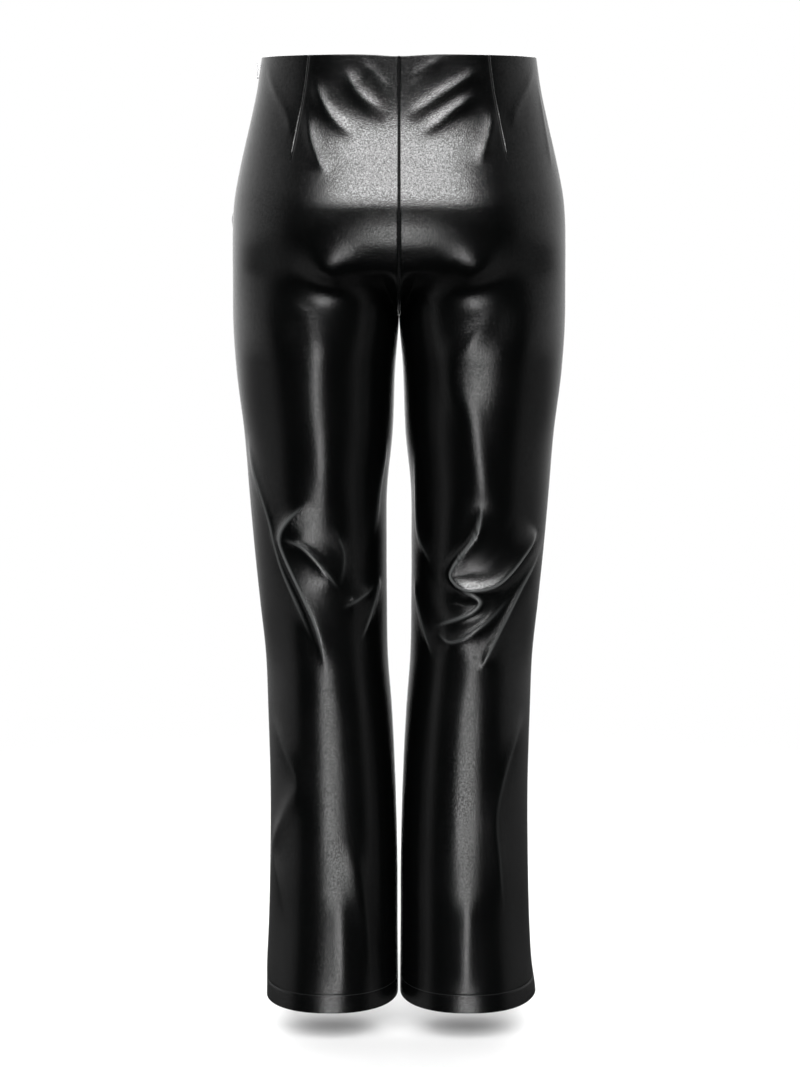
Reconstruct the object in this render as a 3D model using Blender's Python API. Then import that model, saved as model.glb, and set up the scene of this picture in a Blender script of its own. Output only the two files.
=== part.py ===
"""Faux leather trousers, filled out as if worn, with no wearer.

High waist with no waistband, two back darts, a concealed zip in the wearer's left side
seam, straight legs and turned-up hems. Sizes are in metres. The origin is the middle of
the waist opening at the cloth's top edge, where a wearer holds the trousers up. +X is the
wearer's right, +Y is the way the wearer faces, so the seat is at -Y, and +Z is up.
"""

import math
from collections import namedtuple

import bpy
import numpy as np
from mathutils import Matrix

# Driving sizes.
CLOTH = 0.0015  # wall of the coated cloth
TURNING = 0.0011  # what a turned edge adds to the wall, on the inside
SEAM_GAP = 0.0003  # between two pieces that are sewn together
HEM_HEIGHT = -1.018
HEM_TURN_UP = 0.020
WAIST_TURN_IN = 0.035
TURNED_EDGE = 0.001  # height over which a turning's raw edge thins out
CROTCH_HEIGHT = -0.272
CROTCH_CURVE = 0.056  # height of the curved part of the seat seam
BACK_DIP = 0.002  # of the waist's edge at the middle of the back
DIP_WIDTH, DIP_HEIGHT = 20.0, 0.060  # degrees and height over which that dip dies out

LEFT, RIGHT = -1, 1  # the wearer's left is at -X
INSEAM, OUTSEAM, FRONT_INSEAM = -90.0, 90.0, 270.0  # degrees round a leg from its back
ARC = 0.00132  # mean length of one such degree along the cloth

# How the seat parts into two legs: the height above the crotch at which that starts and the
# height it takes, how far it goes on under the crotch, and the degrees off the seam at which
# the change has become softer and softest.
PARTING_TOP, PARTING_HEIGHT, UNDER_CROTCH = 0.070, 0.115, 0.012
NEAR_SEAM, FAR_FROM_SEAM = 12.0, 70.0

# One row for each level: half width to the outseam, distance of the inseam from the middle
# plane, depth of the back and the front, the outseam's own depth, and how square it is.
Section = namedtuple("Section", "height outer inner back front middle square")
SECTIONS = (
    Section(0.000, 0.1455, 0.0000, -0.1045, 0.096, 0.000, 2.20),
    Section(-0.035, 0.1510, 0.0000, -0.1075, 0.098, 0.000, 2.20),
    Section(-0.065, 0.1575, 0.0000, -0.1118, 0.100, -0.001, 2.22),
    Section(-0.095, 0.1646, 0.0000, -0.1200, 0.101, -0.002, 2.26),
    Section(-0.125, 0.1712, 0.0000, -0.1310, 0.102, -0.003, 2.32),
    Section(-0.145, 0.1748, 0.0000, -0.1380, 0.102, -0.004, 2.36),
    Section(-0.155, 0.1760, 0.0000, -0.1404, 0.102, -0.004, 2.37),
    Section(-0.163, 0.1766, 0.0000, -0.1413, 0.102, -0.005, 2.38),
    Section(-0.178, 0.1773, 0.0000, -0.1417, 0.101, -0.006, 2.40),
    Section(-0.192, 0.1776, 0.0000, -0.1398, 0.101, -0.006, 2.40),
    Section(-0.208, 0.1778, 0.0000, -0.1345, 0.101, -0.006, 2.38),
    Section(-0.226, 0.1779, 0.0000, -0.1270, 0.100, -0.006, 2.35),
    Section(-0.245, 0.1780, 0.0000, -0.1226, 0.100, -0.005, 2.32),
    Section(-0.272, 0.1782, 0.0000, -0.1180, 0.099, -0.004, 2.25),
    Section(-0.330, 0.1752, 0.0038, -0.1085, 0.098, -0.002, 2.15),
    Section(-0.400, 0.1672, 0.0068, -0.101, 0.095, 0.000, 2.10),
    Section(-0.460, 0.1628, 0.0126, -0.095, 0.091, 0.000, 2.05),
    Section(-0.520, 0.1578, 0.0132, -0.090, 0.085, -0.002, 2.05),
    Section(-0.580, 0.1518, 0.0130, -0.090, 0.077, -0.006, 2.05),
    Section(-0.640, 0.1455, 0.0122, -0.093, 0.070, -0.010, 2.05),
    Section(-0.700, 0.1432, 0.0078, -0.097, 0.064, -0.014, 2.10),
    Section(-0.780, 0.1412, 0.0038, -0.100, 0.060, -0.018, 2.15),
    Section(-0.860, 0.1418, 0.0016, -0.102, 0.059, -0.020, 2.20),
    Section(-0.940, 0.1440, 0.0014, -0.104, 0.060, -0.022, 2.20),
    Section(HEM_HEIGHT, 0.1486, 0.0010, -0.106, 0.062, -0.022, 2.25),
)

# A fold is a ridge along a path of (degrees, height) points. On a path that runs down, the
# outer width is its reach towards the outseam and the inner width that towards the inseam.
# It fades in and out over a share of the path.
Fold = namedtuple("Fold", "leg rise outer_width inner_width fade path")
FOLDS = (
    # Back of the left leg: the thigh's cloth hangs over the knee in a hook.
    Fold(LEFT, 0.0040, 0.013, 0.009, 0.25, (
        (67, -0.394), (58, -0.429), (43, -0.481), (33, -0.533), (21, -0.573), (10, -0.613))),
    Fold(LEFT, 0.0055, 0.009, 0.015, 0.20, (
        (4, -0.461), (23, -0.483), (31, -0.502), (28, -0.522), (14, -0.566), (4, -0.603),
        (-1, -0.650))),
    Fold(LEFT, 0.0035, 0.010, 0.010, 0.30, (
        (28, -0.504), (13, -0.511), (-4, -0.536), (-16, -0.558))),
    Fold(LEFT, 0.0032, 0.010, 0.010, 0.35, ((-19, -0.578), (-36, -0.568), (-54, -0.556))),
    Fold(LEFT, 0.0030, 0.009, 0.009, 0.30, ((-66, -0.397), (-60, -0.450), (-54, -0.510))),
    Fold(LEFT, 0.0030, 0.009, 0.009, 0.30, ((-62, -0.548), (-53, -0.572), (-35, -0.618))),
    Fold(LEFT, 0.0030, 0.019, 0.022, 0.25, (
        (-1, -0.620), (-3, -0.718), (-6, -0.783), (-5, -0.860))),
    Fold(LEFT, 0.0026, 0.018, 0.018, 0.30, ((-12, -0.820), (-20, -0.893), (-29, -1.000))),
    Fold(LEFT, 0.0024, 0.011, 0.011, 0.25, (
        (66, -0.693), (46, -0.729), (31, -0.767), (45, -0.805), (62, -0.846), (50, -0.889),
        (38, -0.930))),
    Fold(LEFT, 0.0030, 0.020, 0.024, 0.20, (
        (-14, -0.236), (-6, -0.281), (-2, -0.354), (-5, -0.407), (-11, -0.480))),
    # Back of the right leg: two folds cross the knee, one over the other.
    Fold(RIGHT, 0.0045, 0.010, 0.008, 0.25, (
        (74, -0.507), (46, -0.546), (31, -0.577), (14, -0.622), (7, -0.645))),
    Fold(RIGHT, 0.0060, 0.014, 0.008, 0.15, (
        (0, -0.462), (-4, -0.497), (-21, -0.533), (-22, -0.547), (-9, -0.557), (17, -0.551),
        (44, -0.515), (56, -0.498))),
    Fold(RIGHT, 0.0040, 0.008, 0.011, 0.20, (
        (-9, -0.562), (0, -0.571), (-8, -0.584), (-41, -0.601))),
    Fold(RIGHT, 0.0040, 0.010, 0.010, 0.30, (
        (-38, -0.604), (-20, -0.614), (2, -0.599), (30, -0.566))),
    Fold(RIGHT, 0.0030, 0.009, 0.009, 0.30, ((-60, -0.399), (-64, -0.490), (-44, -0.536))),
    Fold(RIGHT, 0.0030, 0.009, 0.009, 0.30, ((-72, -0.552), (-56, -0.592), (-40, -0.634))),
    Fold(RIGHT, 0.0030, 0.018, 0.019, 0.25, (
        (8, -0.630), (0, -0.707), (1, -0.783), (3, -0.871), (-2, -0.995))),
    Fold(RIGHT, 0.0024, 0.011, 0.011, 0.25, (
        (61, -0.691), (42, -0.733), (28, -0.795), (30, -0.851), (35, -0.912))),
    Fold(RIGHT, 0.0028, 0.016, 0.018, 0.20, (
        (-14, -0.238), (-12, -0.281), (-22, -0.318), (-20, -0.345), (-8, -0.380),
        (-1, -0.440), (0, -0.475))),
    # Drag lines from the waist and the darts across the seat.
    Fold(LEFT, 0.0011, 0.007, 0.007, 0.30, ((-16, -0.038), (-50, -0.077), (-78, -0.097))),
    Fold(LEFT, 0.0010, 0.007, 0.007, 0.30, ((48, -0.006), (5, -0.056), (-9, -0.085))),
    Fold(RIGHT, 0.0011, 0.007, 0.007, 0.30, ((-19, -0.026), (-52, -0.067), (-76, -0.097))),
    Fold(RIGHT, 0.0010, 0.007, 0.007, 0.30, ((56, -0.008), (15, -0.046), (-3, -0.077))),
    Fold(RIGHT, 0.0010, 0.008, 0.008, 0.30, ((61, -0.019), (50, -0.076), (42, -0.122))),
    # Fronts: drag lines from the crotch, the bend of each knee and the shins.
    Fold(LEFT, 0.0026, 0.013, 0.013, 0.35, ((152, -0.196), (200, -0.226), (246, -0.252))),
    Fold(LEFT, 0.0020, 0.013, 0.013, 0.35, ((172, -0.252), (212, -0.270), (250, -0.300))),
    Fold(LEFT, 0.0032, 0.013, 0.013, 0.30, ((120, -0.470), (160, -0.512), (214, -0.530))),
    Fold(LEFT, 0.0036, 0.012, 0.014, 0.30, ((130, -0.588), (176, -0.572), (232, -0.596))),
    Fold(LEFT, 0.0024, 0.014, 0.014, 0.30, ((196, -0.640), (184, -0.740), (200, -0.860))),
    Fold(LEFT, 0.0020, 0.014, 0.014, 0.30, ((132, -0.700), (146, -0.800), (136, -0.905))),
    Fold(RIGHT, 0.0024, 0.013, 0.013, 0.35, ((158, -0.190), (204, -0.214), (244, -0.246))),
    Fold(RIGHT, 0.0022, 0.013, 0.013, 0.35, ((166, -0.262), (214, -0.274), (252, -0.296))),
    Fold(RIGHT, 0.0034, 0.013, 0.013, 0.30, ((126, -0.496), (170, -0.528), (222, -0.520))),
    Fold(RIGHT, 0.0030, 0.014, 0.012, 0.30, ((142, -0.610), (190, -0.588), (238, -0.612))),
    Fold(RIGHT, 0.0026, 0.014, 0.014, 0.30, ((190, -0.652), (198, -0.760), (186, -0.880))),
    Fold(RIGHT, 0.0020, 0.014, 0.014, 0.30, ((136, -0.720), (126, -0.820), (140, -0.930))),
)
PATH_STEPS = 24
SEAM_FADE = 10.0  # degrees from an inner seam over which folds die out

# A bump is a round rise that reaches so far across and up the cloth.
Bump = namedtuple("Bump", "leg angle height across up rise")
BUMPS = (
    Bump(LEFT, OUTSEAM, -0.170, 0.008, 0.008, 0.0018),  # the end of the zip
    Bump(LEFT, OUTSEAM, HEM_HEIGHT, 0.030, 0.025, -0.0020),  # the hems' outer corners
    Bump(RIGHT, OUTSEAM, HEM_HEIGHT, 0.030, 0.025, 0.0028),
    Bump(LEFT, -41, -0.213, 0.016, 0.016, 0.0042),  # under the seat
    Bump(RIGHT, -35, -0.213, 0.016, 0.016, 0.0042),
)

# The dart's seam on each back, as degrees round the leg at its top and at its point.
DART_TOP, DART_POINT = -13.5, -10.5
DART_LENGTH = 0.110
DART_FADE = 0.020  # height over which it dies out above its point
DART_DEPTH = 0.0009
DART_HALF_WIDTH = 1.2  # degrees to the columns beside it, which spread out below it
SPREAD_HALF_WIDTH, SPREAD_HEIGHT = 5.5, 0.080

# Steps across a panel, and down it from one height to the next. Each step of a front takes
# in whole steps of a back, so that both have the same corners along their seams.
BACK_INNER_STEPS, BACK_OUTER_STEPS = 6, 8
FRONT_STEPS = 10
BESIDE_OUTSEAM, BESIDE_ZIP = 9.5, 14.0  # degrees from the outseam to the next column
Band = namedtuple("Band", "top bottom back_steps front_steps")
UPPER_BANDS = (
    Band(0.000, TURNED_EDGE - WAIST_TURN_IN, 3, 1),
    Band(TURNED_EDGE - WAIST_TURN_IN, -WAIST_TURN_IN, 1, 1),
    Band(-WAIST_TURN_IN, -0.110, 6, 3),
    Band(-0.110, CROTCH_HEIGHT + CROTCH_CURVE, 6, 6),
)
CROTCH_STEPS = 7
LOWER_BANDS = (
    Band(CROTCH_HEIGHT, -0.440, 10, 5),
    Band(-0.440, -0.680, 24, 12),
    Band(-0.680, -0.800, 6, 3),
    Band(-0.800, HEM_HEIGHT + HEM_TURN_UP, 8, 4),
    Band(HEM_HEIGHT + HEM_TURN_UP, HEM_HEIGHT + HEM_TURN_UP - TURNED_EDGE, 1, 1),
    Band(HEM_HEIGHT + HEM_TURN_UP - TURNED_EDGE, HEM_HEIGHT, 1, 1),
)

# The concealed zip: a tape inside the left outseam, a slider in its top and a pull tab.
TAPE = 0.0010
TAPE_TOP = -0.003
TAPE_ROW_GAP = 0.001  # least height between two rows of the tape
ZIP_END = -0.170
NOTCH_BOTTOM = -0.0150  # the tape is parted above this, round the slider
NOTCH_SHARE = 0.72  # of the way from a tape's edge to the seam
PARTING = 0.0013  # how far the seam opens round the slider's neck
PARTING_BOTTOM, PARTING_RUN = -0.045, 0.025
SLIDER_HEIGHT = -0.0085
SLIDER_REACH = 0.006  # above and below it, over which the cloth's lean is taken
SLIDER_BODY = (0.0020, 0.0050, 0.0110)
SLIDER_SEAT = 0.0006  # between the slider's body and the cloth
NECK_WIDTH = 0.0010
RING_RADIUS, RING_HOLE = 0.0020, 0.00105
HINGE_OUT = 0.0031  # from the cloth to the pull's hinge
PULL_LENGTH, PULL_THICKNESS = 0.0145, 0.0010
PULL_TOP_WIDTH, PULL_WIDTH = 0.0042, 0.0050
WINDOW_WIDTH, WINDOW_LENGTH = 0.0016, 0.0026

SHARP_ANGLE = math.radians(40.0)  # between faces that meet in an edge
ROUND_STEPS, HOLE_STEPS = 12, 24  # sides of half a round and of a whole hole
AROUND_STEP, UP_STEP = 0.5, 0.0008  # degrees and height between which the surface slopes
CLOSE_ANGLE, CLOSE_HEIGHT = 0.1, 1e-6  # how close to the crotch counts as on it

# Colour, roughness and metallic value of each material.
FAUX_LEATHER = ((0.010, 0.011, 0.011, 1.0), 0.32, 0.0)
ZIP_TAPE = ((0.012, 0.012, 0.013, 1.0), 0.85, 0.0)
ZIP_METAL = ((0.35, 0.35, 0.36, 1.0), 0.30, 1.0)


# --- The garment's surface -------------------------------------------------------------


def smooth(x):
    """0 below 0, 1 above 1, and a smooth rise between."""
    x = np.clip(x, 0.0, 1.0)
    return x * x * (3.0 - 2.0 * x)


def level(name, height):
    """One column of SECTIONS at any height, on a smooth curve through its rows."""
    knots = np.array([row.height for row in SECTIONS])
    values = np.array([getattr(row, name) for row in SECTIONS])
    slopes = np.gradient(values, knots)
    height = np.clip(height, knots[-1], knots[0])
    i = np.clip(np.searchsorted(-knots, -height, side="right") - 1, 0, len(knots) - 2)
    span = knots[i + 1] - knots[i]
    t = (height - knots[i]) / span
    return (
        (2 * t**3 - 3 * t**2 + 1) * values[i]
        + (t**3 - 2 * t**2 + t) * span * slopes[i]
        + (3 * t**2 - 2 * t**3) * values[i + 1]
        + (t**3 - t**2) * span * slopes[i + 1]
    )


def round_square(degrees, square):
    """Across and backward parts of a unit outline between a circle (2) and a square."""
    a = np.radians(degrees)
    reach = (np.abs(np.sin(a)) ** square + np.abs(np.cos(a)) ** square) ** (-1 / square)
    return reach * np.sin(a), reach * np.cos(a)


def from_inner_seam(angle):
    """Degrees to the nearer of a half's two inner seams."""
    return np.minimum(angle - INSEAM, FRONT_INSEAM - angle)


def leg_share(angle, height):
    """0 where the cloth follows the seat, 1 where it goes round one leg.

    The seat seam runs under the body on a quarter of an ellipse. The change is softer a
    little way off that seam, and softer again towards the outseam.
    """
    above = np.clip((height - CROTCH_HEIGHT) / CROTCH_CURVE, 0.0, 1.0)
    at_seam = 1.0 - np.sqrt(1.0 - (1.0 - above) ** 2)
    near_seam = smooth((CROTCH_HEIGHT + CROTCH_CURVE - height) / (CROTCH_CURVE + UNDER_CROTCH))
    far = smooth((CROTCH_HEIGHT + PARTING_TOP - height) / PARTING_HEIGHT)
    off_seam = from_inner_seam(angle)
    near = at_seam + (near_seam - at_seam) * smooth(off_seam / NEAR_SEAM)
    return near + (far - near) * smooth(off_seam / FAR_FROM_SEAM)


def plain_point(side, angle, height):
    """The cloth's outer surface with no folds, for arrays of angles and heights."""
    outer, inner = level("outer", height), level("inner", height)
    back, front = level("back", height), level("front", height)
    middle, square = level("middle", height), level("square", height)
    across, backward = round_square((angle + 90.0) / 2.0, square)
    seat_x = outer * across
    seat_y = middle - np.where(backward > 0, middle - back, front - middle) * backward
    across, backward = round_square(angle, square)
    half = (outer - inner) / 2.0
    leg_x = inner + half + half * across
    leg_y = middle - np.where(backward > 0, middle - back, front - middle) * backward
    share = leg_share(angle, height)
    x = seat_x + (leg_x - seat_x) * share
    y = seat_y + (leg_y - seat_y) * share
    return np.stack([side * (x + SEAM_GAP / 2.0), y, height + 0.0 * x], axis=-1)


def smooth_path(points):
    """Points along a smooth curve through a fold's own points, in metres of cloth."""
    p = np.array([(angle * ARC, height) for angle, height in points])
    p = np.vstack([2 * p[0] - p[1], p, 2 * p[-1] - p[-2]])
    along = np.linspace(0.0, len(points) - 1.000001, PATH_STEPS)
    i = along.astype(int)
    t = (along - i)[:, None]
    before, start, end, after = p[i], p[i + 1], p[i + 2], p[i + 3]
    return 0.5 * (
        2 * start
        + (end - before) * t
        + (2 * before - 5 * start + 4 * end - after) * t**2
        + (3 * start - before - 3 * end + after) * t**3
    )


def fold_rise(fold, angle, height):
    """How far one fold lifts the cloth: a ridge that falls off to both sides of its path."""
    line = smooth_path(fold.path)
    runs = np.diff(line, axis=0)
    across = angle[..., None] * ARC - line[:-1, 0]
    up = height[..., None] - line[:-1, 1]
    t = (across * runs[:, 0] + up * runs[:, 1]) / (runs**2).sum(axis=1)
    t = np.clip(t, 0.0, 1.0)
    across, up = across - t * runs[:, 0], up - t * runs[:, 1]
    distance = across**2 + up**2
    nearest = np.argmin(distance, axis=-1)[..., None]
    t, across, up, distance = (
        np.take_along_axis(values, nearest, -1)[..., 0] for values in (t, across, up, distance)
    )
    run = runs[nearest[..., 0]]
    outward = run[..., 0] * up - run[..., 1] * across > 0
    share = (nearest[..., 0] + t) / len(runs)
    fade = smooth(share / fold.fade) * smooth((1.0 - share) / fold.fade)
    width = np.where(outward, fold.outer_width, fold.inner_width)
    return fold.rise * fade * np.exp(-distance / width**2)


def bump_rise(bump, angle, height):
    across = (angle - bump.angle) * ARC / bump.across
    up = (height - bump.height) / bump.up
    return bump.rise * np.exp(-(across**2) - up**2)


def dart_angle(height):
    return DART_TOP + (DART_POINT - DART_TOP) * np.clip(-height / DART_LENGTH, 0.0, 1.0)


def dart_fall(angle, height):
    """How far the cloth falls in along the dart's seam."""
    off_seam = (angle - dart_angle(height)) / DART_HALF_WIDTH
    return DART_DEPTH * smooth((height + DART_LENGTH) / DART_FADE) * np.exp(-(off_seam**2))


def relief(side, angle, height):
    """Everything that lifts the cloth off its plain shape, which stays plain at the seams."""
    rise = np.zeros_like(angle)
    for fold in FOLDS:
        if fold.leg == side:
            rise += fold_rise(fold, angle, height)
    for bump in BUMPS:
        if bump.leg == side:
            rise += bump_rise(bump, angle, height)
    return (rise - dart_fall(angle, height)) * smooth(from_inner_seam(angle) / SEAM_FADE)


def edge_dip(angle, height):
    """How far the waist dips to the middle seam of the back."""
    off_seam = (angle - INSEAM) / DIP_WIDTH
    return BACK_DIP * np.exp(-(off_seam**2)) * smooth(1.0 + height / DIP_HEIGHT)


def normal_of(surface, side, angle, height):
    """Unit normals out of the cloth, from points a little way off round and up it."""
    one_tube = height <= CROTCH_HEIGHT
    low, high = angle - AROUND_STEP, angle + AROUND_STEP
    low = np.where(one_tube, low, np.maximum(low, INSEAM))
    high = np.where(one_tube, high, np.minimum(high, FRONT_INSEAM))
    top, bottom = np.minimum(height + UP_STEP, 0.0), np.maximum(height - UP_STEP, HEM_HEIGHT)
    around = surface(side, high, height) - surface(side, low, height)
    upward = surface(side, angle, top) - surface(side, angle, bottom)
    normal = side * np.cross(around, upward)
    at_crotch_level = np.abs(height - CROTCH_HEIGHT) < CLOSE_HEIGHT
    at_crotch = at_crotch_level & (from_inner_seam(angle) < CLOSE_ANGLE)
    normal[at_crotch] = (-side, 0.0, 0.0)
    return normal / np.linalg.norm(normal, axis=-1, keepdims=True)


def clear_of_middle(side, points):
    """Keep one half's points off the other half, by half a seam's gap each."""
    points[..., 0] = side * np.maximum(side * points[..., 0], SEAM_GAP / 2.0)
    return points


def cloth_point(side, angle, height):
    """The cloth's outer surface with its folds, darts and dip."""
    point = plain_point(side, angle, height)
    normal = normal_of(plain_point, side, angle, height)
    point = point + normal * relief(side, angle, height)[..., None]
    point[..., 2] -= edge_dip(angle, height)
    return clear_of_middle(side, point)


# --- Panels ----------------------------------------------------------------------------


def mesh_object(name, points, faces, material):
    mesh = bpy.data.meshes.new(name)
    mesh.from_pydata([tuple(point) for point in points], [], faces)
    mesh.materials.append(material)
    mesh.shade_smooth()
    mesh.set_sharp_from_angle(angle=SHARP_ANGLE)
    made = bpy.data.objects.new(name, mesh)
    bpy.context.scene.collection.objects.link(made)
    return made


def wall_object(name, side, outer, inner, material, kept=None):
    """A closed wall between two grids of points. kept says which of its cells are cloth."""
    down, across = outer.shape[:2]
    if kept is None:
        kept = np.ones((down - 1, across - 1), bool)
    inner_start = down * across
    faces = []

    def add(*corners):
        faces.append(corners if side == RIGHT else corners[::-1])

    def is_cloth(i, j):
        return 0 <= i < down - 1 and 0 <= j < across - 1 and kept[i, j]

    for i in range(down - 1):
        for j in range(across - 1):
            if not kept[i, j]:
                continue
            a, b = i * across + j, i * across + j + 1
            c, d = b + across, a + across
            add(a, d, c, b)
            add(*(inner_start + corner for corner in (a, b, c, d)))
            beside = ((a, b, i - 1, j), (b, c, i, j + 1), (c, d, i + 1, j), (d, a, i, j - 1))
            for start, end, next_i, next_j in beside:
                if not is_cloth(next_i, next_j):
                    add(start, end, inner_start + end, inner_start + start)

    points = np.vstack([outer.reshape(-1, 3), inner.reshape(-1, 3)])
    used = sorted({corner for face in faces for corner in face})
    place = {corner: k for k, corner in enumerate(used)}
    faces = [tuple(place[corner] for corner in face) for face in faces]
    return mesh_object(name, points[used], faces, material)


def wall_thickness(height):
    """The wall is thicker where the waist is turned in and the hem is turned up."""
    turned = (height > -WAIST_TURN_IN) | (height < HEM_HEIGHT + HEM_TURN_UP)
    return CLOTH + TURNING * turned


def steps_down(bands, steps_name):
    """Heights from the top of the first band to the bottom of the last."""
    heights = [bands[0].top]
    for band in bands:
        heights += list(np.linspace(band.top, band.bottom, getattr(band, steps_name) + 1)[1:])
    return heights


def panel_heights(steps_name):
    """A panel's rows, with those on the curve of the seat seam closer towards the crotch."""
    turn = np.radians(np.linspace(90.0, 0.0, CROTCH_STEPS + 1))[1:-1]
    curve = CROTCH_HEIGHT + CROTCH_CURVE * (1.0 - np.cos(turn))
    upper = steps_down(UPPER_BANDS, steps_name)
    return np.array(upper + list(curve) + steps_down(LOWER_BANDS, steps_name))


def beside_outseam(height):
    """Degrees to the columns next to the outseam, which are the zip tape's edges above."""
    at_hips = smooth((height - CROTCH_HEIGHT) / CROTCH_CURVE)
    return BESIDE_OUTSEAM + (BESIDE_ZIP - BESIDE_OUTSEAM) * at_hips


def back_angles(height):
    """A back's columns at one height, with one on the dart's seam and one on each side."""
    spread = smooth((-height - DART_LENGTH) / SPREAD_HEIGHT)
    beside = DART_HALF_WIDTH + (SPREAD_HALF_WIDTH - DART_HALF_WIDTH) * spread
    dart = dart_angle(height)
    inner = np.linspace(INSEAM, dart - beside, BACK_INNER_STEPS + 1)
    outer = np.linspace(dart + beside, OUTSEAM - beside_outseam(height), BACK_OUTER_STEPS + 1)
    return np.concatenate([inner, [dart], outer, [OUTSEAM]])


def front_angles(height):
    across = np.linspace(OUTSEAM + beside_outseam(height), FRONT_INSEAM, FRONT_STEPS)
    return np.concatenate([[OUTSEAM], across])


def seam_half_gap(side, height):
    """Half the gap at the outseam, which parts round the slider's neck at the zip's top."""
    parts = smooth((height - PARTING_BOTTOM) / PARTING_RUN) * (side == LEFT)
    return (SEAM_GAP + PARTING * parts) / 2.0


def panel(name, side, angles_at, heights, material):
    """The front or back of one half: a wall from its outseam to its inner seams."""
    angle = np.array([angles_at(height) for height in heights])
    height = np.repeat(heights[:, None], angle.shape[1], axis=1)
    outer = cloth_point(side, angle, height)
    normal = normal_of(cloth_point, side, angle, height)
    for edge, beside in ((0, 1), (-1, -2)):
        at_outseam = angle[0, edge] == OUTSEAM
        half_gap = seam_half_gap(side, heights) if at_outseam else SEAM_GAP / 2.0
        along = outer[:, beside] - outer[:, edge]
        along *= np.reshape(half_gap, (-1, 1)) / np.linalg.norm(along, axis=-1, keepdims=True)
        outer[:, edge] += along
    outer = clear_of_middle(side, outer)
    inner = clear_of_middle(side, outer - normal * wall_thickness(height)[..., None])
    return wall_object(name, side, outer, inner, material)


# --- Zip -------------------------------------------------------------------------------


def zip_tape(material):
    """A strip inside the left outseam, parted at its top for the slider."""
    rows = panel_heights("back_steps")
    rows = rows[(rows < NOTCH_BOTTOM - TAPE_ROW_GAP) & (rows > ZIP_END - TAPE_ROW_GAP)]
    heights = np.concatenate([[TAPE_TOP, SLIDER_HEIGHT, NOTCH_BOTTOM], rows])
    angles = (OUTSEAM - BESIDE_ZIP, OUTSEAM, OUTSEAM + BESIDE_ZIP)
    angle = np.tile(angles, (len(heights), 1))
    height = np.repeat(heights[:, None], len(angles), axis=1)
    surface = cloth_point(LEFT, angle, height)
    normal = normal_of(cloth_point, LEFT, angle, height)
    lining_up = smooth((height + WAIST_TURN_IN + PARTING_RUN) / PARTING_RUN)
    depth = CLOTH + TURNING * lining_up + SEAM_GAP

    def strip(below):
        back, seam, front = np.moveaxis(surface - normal * (depth + below)[..., None], 1, 0)
        columns = (
            back,
            back + (seam - back) * NOTCH_SHARE,
            front + (seam - front) * NOTCH_SHARE,
            front,
        )
        return np.stack(columns, axis=1)

    kept = np.ones((len(heights) - 1, 3), bool)
    kept[:2, 1] = False
    return wall_object("zip_tape", LEFT, strip(0.0), strip(TAPE), material, kept)


def prism(name, outline, thickness, material):
    """An outline in the XZ plane, anticlockwise as seen from -Y, made thick along Y."""
    count = len(outline)
    points = [(x, y, z) for y in (-thickness / 2.0, thickness / 2.0) for x, z in outline]
    faces = [tuple(range(count)), tuple(range(2 * count - 1, count - 1, -1))]
    for k in range(count):
        after = (k + 1) % count
        faces.append((after, k, count + k, count + after))
    return mesh_object(name, points, faces, material)


def arc(middle, radius, first, last, steps):
    """Points on an arc in the XZ plane, from one angle in degrees to another."""
    turn = np.radians(np.linspace(first, last, steps + 1))
    return [(middle[0] + radius * math.cos(a), middle[1] + radius * math.sin(a)) for a in turn]


def box(name, size, middle, material):
    x, y, z = (extent / 2.0 for extent in size)
    made = prism(name, ((-x, -z), (x, -z), (x, z), (-x, z)), 2.0 * y, material)
    made.data.transform(Matrix.Translation(middle))
    return made


def combine(piece, tool, operation):
    """Join a shape to a piece, or cut it out, and leave the shape itself out of the model."""
    tool.parent = piece
    tool.hide_render = True
    tool.display_type = "WIRE"
    step = piece.modifiers.new(tool.name, "BOOLEAN")
    step.operation = operation
    step.solver = "EXACT"
    step.object = tool


def seam_frame():
    """The pull's hinge over the left outseam, and how far the cloth leans back there."""
    heights = SLIDER_HEIGHT + SLIDER_REACH * np.array([1.0, 0.0, -1.0])
    upper, middle, lower = cloth_point(LEFT, np.full(3, OUTSEAM), heights)
    lean = math.atan2(upper[0] - lower[0], upper[2] - lower[2])
    outward = np.array([-math.cos(lean), 0.0, math.sin(lean)])
    return middle + outward * HINGE_OUT, lean


def zip_slider(material):
    """A body inside the cloth, and a ring outside it on a neck through the parted seam."""
    hinge, lean = seam_frame()
    depth, width, height = SLIDER_BODY
    body_in = HINGE_OUT + CLOTH + TURNING + SLIDER_SEAT
    neck_end = body_in + depth / 2.0
    outline = [(neck_end, -RING_RADIUS), (neck_end, RING_RADIUS)]
    outline += arc((0.0, 0.0), RING_RADIUS, 90.0, 270.0, ROUND_STEPS)
    slider = prism("zip_slider", outline, NECK_WIDTH, material)
    slider.location = hinge
    slider.rotation_euler.y = lean
    last = 360.0 * (HOLE_STEPS - 1) / HOLE_STEPS
    round_hole = arc((0.0, 0.0), RING_HOLE, 0.0, last, HOLE_STEPS - 1)
    hole = prism("slider_hole", round_hole, width, material)
    body = box("slider_body", SLIDER_BODY, (body_in + depth / 2.0, 0.0, 0.0), material)
    combine(slider, hole, "DIFFERENCE")
    combine(slider, body, "UNION")
    return slider


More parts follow.
